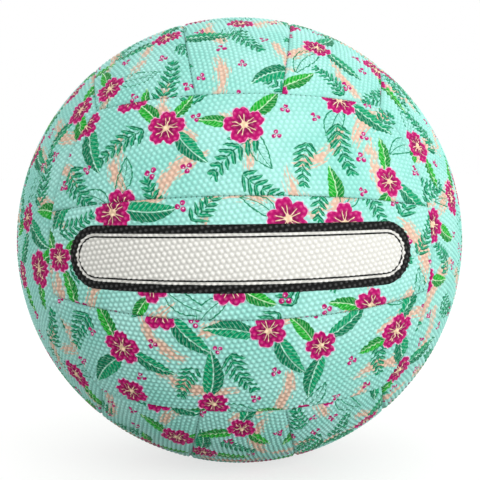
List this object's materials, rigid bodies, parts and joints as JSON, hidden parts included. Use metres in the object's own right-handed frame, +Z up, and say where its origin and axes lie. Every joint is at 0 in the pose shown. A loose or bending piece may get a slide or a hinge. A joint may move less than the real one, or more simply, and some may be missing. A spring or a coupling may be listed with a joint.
{
  "type": "netball",
  "caption": "Stitched netball: pimpled rubber-grip panels in groups of parallel strips over an inflated bladder with a needle valve.",
  "frame": {"origin": "centre of the ball", "axes": "+Z up, -Y towards the front group of strips, +Y out through the valve"},
  "size_m": [0.2228, 0.2227, 0.2228],
  "materials": {
    "grip_rubber": "matt moulded rubber sheet with small pimples and a printed surface",
    "seam_thread": "waxed polyester thread",
    "bladder_rubber": "smooth butyl rubber",
    "patch_cloth": "rubbered woven cloth",
    "valve_rubber": "moulded rubber, satin",
    "core_rubber": "soft moulded rubber, satin"
  },
  "bodies": {
    "root": {"back_lower_panel": "grip_rubber", "back_middle_panel": "grip_rubber", "back_upper_panel": "grip_rubber", "bladder": "bladder_rubber", "bottom_left_panel": "grip_rubber", "bottom_middle_panel": "grip_rubber", "bottom_right_panel": "grip_rubber", "front_lower_panel": "grip_rubber", "front_middle_panel": "grip_rubber", "front_upper_panel": "grip_rubber", "group_seam_thread": "seam_thread", "left_back_panel": "grip_rubber", "left_front_panel": "grip_rubber", "left_middle_panel": "grip_rubber", "right_back_panel": "grip_rubber", "right_front_panel": "grip_rubber", "right_middle_panel": "grip_rubber", "strip_seam_thread": "seam_thread", "top_left_panel": "grip_rubber", "top_middle_panel": "grip_rubber", "top_right_panel": "grip_rubber", "valve_core": "core_rubber", "valve_housing": "valve_rubber", "valve_patch": "patch_cloth"}
  },
  "joints": []
}
